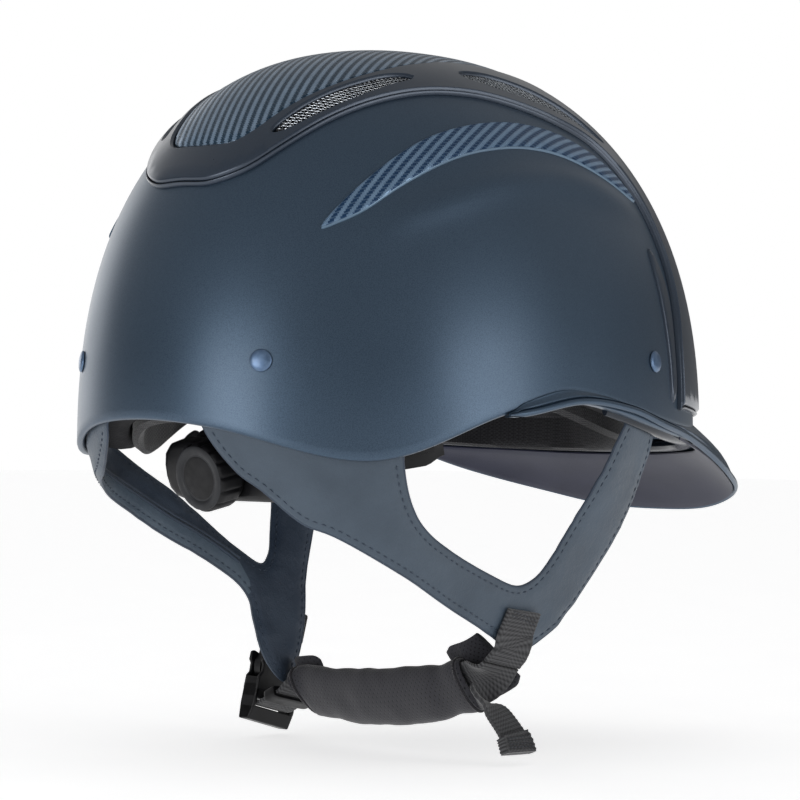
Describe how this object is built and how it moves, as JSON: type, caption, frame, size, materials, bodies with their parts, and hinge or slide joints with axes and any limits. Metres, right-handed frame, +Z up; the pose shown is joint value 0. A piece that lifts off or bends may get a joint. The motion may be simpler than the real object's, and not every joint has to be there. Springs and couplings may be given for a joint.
{
  "type": "equestrian riding helmet",
  "caption": "Riding helmet with a moulded shell, vented crown panel, front peak, foam liner, leather harness with padded chin strap and a rear fit dial.",
  "frame": {"origin": "centre of the head opening, level with the reference line of the shell's lower edge", "axes": "-Y to the front and the peak, +Y to the rear and the dial, +X to the wearer's left, +Z up through the crown"},
  "size_m": [0.2236, 0.3129, 0.289],
  "materials": {
    "shell_paint": "satin metallic navy lacquer with fine flake",
    "frame_paint": "gloss dark navy moulding",
    "carbon_inlay": "blue twill-weave inlay under clear lacquer",
    "vent_wire": "fine woven silver-grey mesh",
    "rivet_metal": "blue-grey painted rivet head",
    "suede_lining": "matt suede",
    "foam_black": "black expanded foam",
    "liner_fabric": "charcoal knitted liner",
    "harness_leather": "soft slate-blue leather, stitched edges",
    "webbing": "dark grey ribbed webbing",
    "pad_mesh": "dark spacer mesh sleeve",
    "black_plastic": "satin black moulding",
    "dial_grip": "soft-touch black grip"
  },
  "bodies": {
    "root": {"adjuster_base": "black_plastic", "adjuster_cover": "black_plastic", "buckle_plug": "black_plastic", "comfort_headband": "liner_fabric", "crown_inlay": "carbon_inlay", "crown_pad": "liner_fabric", "front_blade_left": "frame_paint", "front_blade_right": "frame_paint", "harness_left": "harness_leather", "harness_right": "harness_leather", "impact_liner": "foam_black", "nape_pad": "liner_fabric", "outer_shell": "shell_paint", "peak": "shell_paint", "peak_lining": "suede_lining", "rivet_front_left": "rivet_metal", "rivet_front_right": "rivet_metal", "rivet_rear_left": "rivet_metal", "rivet_rear_right": "rivet_metal", "rivet_washer_front_left": "rivet_metal", "rivet_washer_front_right": "rivet_metal", "rivet_washer_rear_left": "rivet_metal", "rivet_washer_rear_right": "rivet_metal", "side_inlay_left": "carbon_inlay", "side_inlay_right": "carbon_inlay", "top_frame": "frame_paint", "vent_mesh_front_left": "vent_wire", "vent_mesh_front_right": "vent_wire", "vent_mesh_rear_left": "vent_wire", "vent_mesh_rear_right": "vent_wire", "webbing_left": "webbing", "webbing_right": "webbing"},
    "dial": {"dial_knob": "dial_grip", "dial_cap": "black_plastic", "adjuster_pinion": "black_plastic"},
    "rack_left": {"rack_left": "black_plastic"},
    "rack_right": {"rack_right": "black_plastic"},
    "chin": {"chin_strap": "webbing", "chin_pad": "pad_mesh", "buckle_socket": "black_plastic"},
    "keeper": {"strap_keeper": "black_plastic"},
    "tail": {"strap_tail": "webbing"},
    "prong_front": {"buckle_prong_front": "black_plastic"},
    "prong_rear": {"buckle_prong_rear": "black_plastic"}
  },
  "joints": [
    {"name": "dial_turn", "type": "hinge", "parent": "root", "child": "dial", "pos_m": [0, 0.09203, -0.01231], "axis": [0, 0.9781, -0.2079], "range_deg": [-60, 60]},
    {"name": "rack_left_slide", "type": "hinge", "parent": "root", "child": "rack_left", "pos_m": [0, 0.004, 0.0064], "axis": [0, 0.2079, 0.9781], "range_deg": [-4.2, 4.2]},
    {"name": "rack_right_slide", "type": "hinge", "parent": "root", "child": "rack_right", "pos_m": [0, 0.004, 0.0064], "axis": [0, 0.2079, 0.9781], "range_deg": [-4.2, 4.2]},
    {"name": "strap_swing", "type": "hinge", "parent": "root", "child": "chin", "pos_m": [-0.071, -0.0015, -0.087], "axis": [0, 0.9659, 0.2588], "range_deg": [0, 75]},
    {"name": "keeper_slide", "type": "slide", "parent": "chin", "child": "keeper", "axis": [0.914, -0.0068, -0.4056], "range_m": [-0.002, 0.002]},
    {"name": "tail_lift", "type": "hinge", "parent": "chin", "child": "tail", "pos_m": [-0.062, 0.00422, -0.101], "axis": [0, 0.9659, 0.2588], "range_deg": [0, 35]},
    {"name": "prong_front_squeeze", "type": "hinge", "parent": "root", "child": "prong_front", "pos_m": [0.0805, -0.02955, -0.08851], "axis": [1, 0, 0], "range_deg": [0, 6], "stiffness_Nm_per_rad": 0.5},
    {"name": "prong_rear_squeeze", "type": "hinge", "parent": "root", "child": "prong_rear", "pos_m": [0.0805, -0.01216, -0.08385], "axis": [1, 0, 0], "range_deg": [-6, 0], "stiffness_Nm_per_rad": 0.5}
  ],
  "couplings": [
    {"joint": "rack_left_slide", "follows": "dial_turn", "ratio": 0.06452},
    {"joint": "rack_right_slide", "follows": "dial_turn", "ratio": -0.06452}
  ]
}
